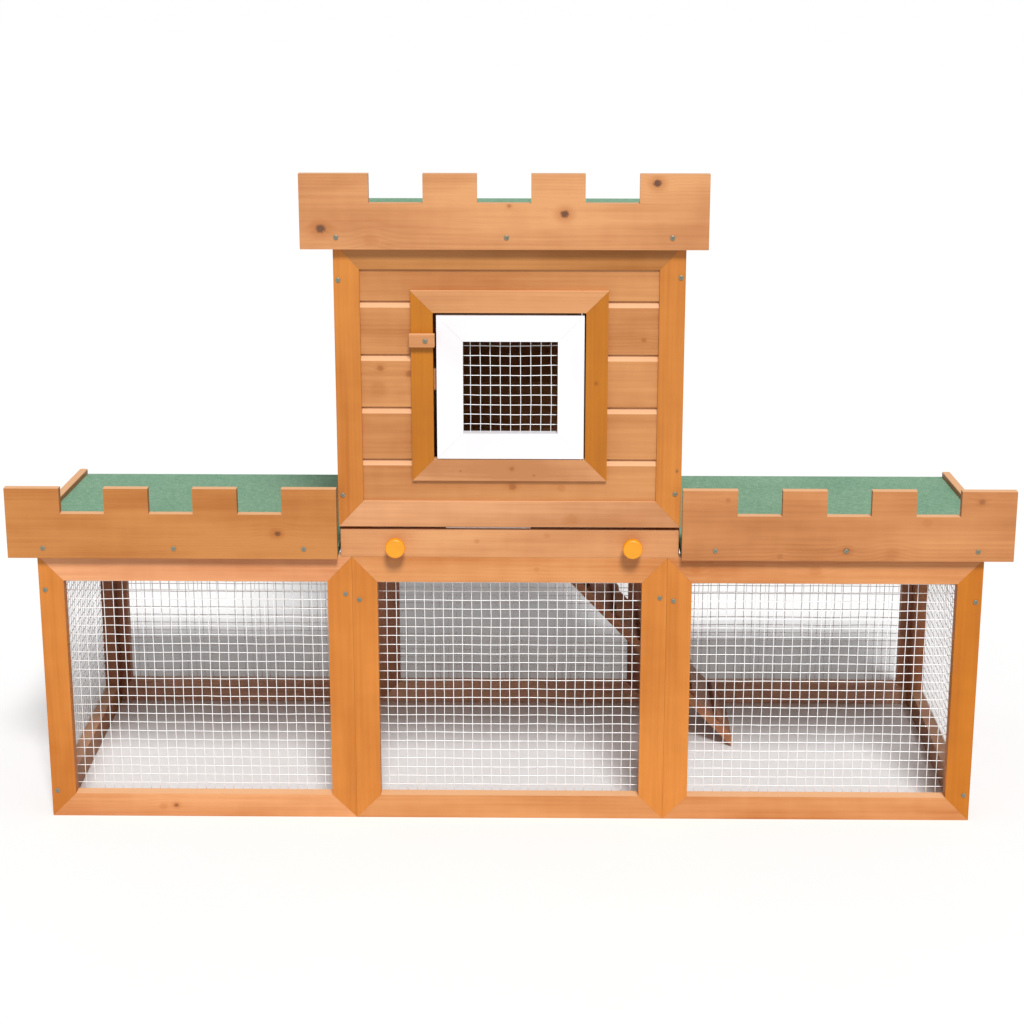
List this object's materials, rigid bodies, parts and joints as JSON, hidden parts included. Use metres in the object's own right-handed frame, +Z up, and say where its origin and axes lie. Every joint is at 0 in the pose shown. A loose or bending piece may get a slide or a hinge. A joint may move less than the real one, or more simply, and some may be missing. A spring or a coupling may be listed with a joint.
{
  "type": "rabbit hutch",
  "caption": "castle-style wooden rabbit hutch: wire-meshed run, two felt-roofed wings and a boarded tower with a white mesh door, pull-out tray and ramp",
  "frame": {"origin": "ground level, at the middle of the overall bounding box in width and depth", "axes": "+X to the right when facing the tower's door, +Y from the front to the rear, +Z up"},
  "size_m": [1.326, 0.492, 0.883],
  "materials": {
    "frame_wood": "satin honey-coloured stain on pine",
    "board_wood": "satin light stain on pine",
    "inner_wood": "dull stained pine",
    "wire_mesh": "galvanised welded wire",
    "zinc": "zinc-plated steel",
    "white_paint": "white satin paint on pine",
    "green_felt": "green mineral-surfaced roofing felt",
    "yellow_plastic": "glossy yellow plastic"
  },
  "bodies": {
    "hutch": {"front_left_frame": "frame_wood", "front_center_frame": "frame_wood", "front_right_frame": "frame_wood", "rear_left_frame": "frame_wood", "rear_center_frame": "frame_wood", "rear_right_frame": "frame_wood", "left_side_frame": "frame_wood", "right_side_frame": "frame_wood", "front_left_mesh": "wire_mesh", "front_center_mesh": "wire_mesh", "front_right_mesh": "wire_mesh", "rear_left_mesh": "wire_mesh", "rear_center_mesh": "wire_mesh", "rear_right_mesh": "wire_mesh", "left_side_mesh": "wire_mesh", "right_side_mesh": "wire_mesh", "floor_bearer": "inner_wood", "tower_floor": "inner_wood", "tower_posts": "inner_wood", "tower_front_frame": "frame_wood", "tower_front_boards": "board_wood", "tower_left_boards": "board_wood", "tower_right_boards": "board_wood", "tower_rear_boards": "board_wood", "door_trim": "frame_wood", "door_stop": "board_wood", "tray_guides": "inner_wood", "door_pivot_pins": "zinc", "turn_button_screw": "zinc", "fixed_hinge_leaves": "zinc", "hinge_pins": "zinc", "frame_screws": "zinc"},
    "tower_door": {"door_frame": "white_paint", "door_mesh": "wire_mesh"},
    "latch": {"turn_button": "board_wood"},
    "tray": {"tray_front": "board_wood", "tray_pan": "zinc", "tray_knobs": "yellow_plastic"},
    "left_roof": {"left_roof_panel": "inner_wood", "left_roof_felt": "green_felt", "left_roof_fascia": "board_wood", "left_roof_strip": "board_wood", "left_roof_hinge_leaves": "zinc", "left_roof_screws": "zinc"},
    "right_roof": {"right_roof_panel": "inner_wood", "right_roof_felt": "green_felt", "right_roof_fascia": "board_wood", "right_roof_strip": "board_wood", "right_roof_hinge_leaves": "zinc", "right_roof_screws": "zinc"},
    "tower_roof": {"tower_roof_panel": "inner_wood", "tower_roof_felt": "green_felt", "tower_roof_fascia": "board_wood", "tower_roof_strips": "board_wood", "tower_roof_hinge_leaves": "zinc", "tower_roof_screws": "zinc"},
    "ramp": {"ramp_board": "inner_wood", "ramp_cleats": "inner_wood", "ramp_hinge_leaves": "zinc"}
  },
  "joints": [
    {"name": "tower_door_swing", "type": "hinge", "parent": "hutch", "child": "tower_door", "pos_m": [0.093, -0.2215, 0.604], "axis": [0, 0, 1], "range_deg": [0, 105]},
    {"name": "latch_turn", "type": "hinge", "parent": "hutch", "child": "latch", "pos_m": [-0.108, -0.228, 0.669], "axis": [0, 1, 0], "range_deg": [0, 180]},
    {"name": "tray_slide", "type": "slide", "parent": "hutch", "child": "tray", "axis": [0, -1, 0], "range_m": [0, 0.2]},
    {"name": "left_roof_lift", "type": "hinge", "parent": "hutch", "child": "left_roof", "pos_m": [-0.445, 0.2333, 0.34008], "axis": [-1, 0, 0], "range_deg": [0, 40]},
    {"name": "right_roof_lift", "type": "hinge", "parent": "hutch", "child": "right_roof", "pos_m": [0.445, 0.2333, 0.34008], "axis": [-1, 0, 0], "range_deg": [0, 40]},
    {"name": "tower_roof_lift", "type": "hinge", "parent": "hutch", "child": "tower_roof", "pos_m": [0, 0.2333, 0.76314], "axis": [-1, 0, 0], "range_deg": [0, 95]},
    {"name": "ramp_lift", "type": "hinge", "parent": "hutch", "child": "ramp", "pos_m": [-0.013, 0.1125, 0.3697], "axis": [0, -1, 0], "range_deg": [0, 37]}
  ]
}
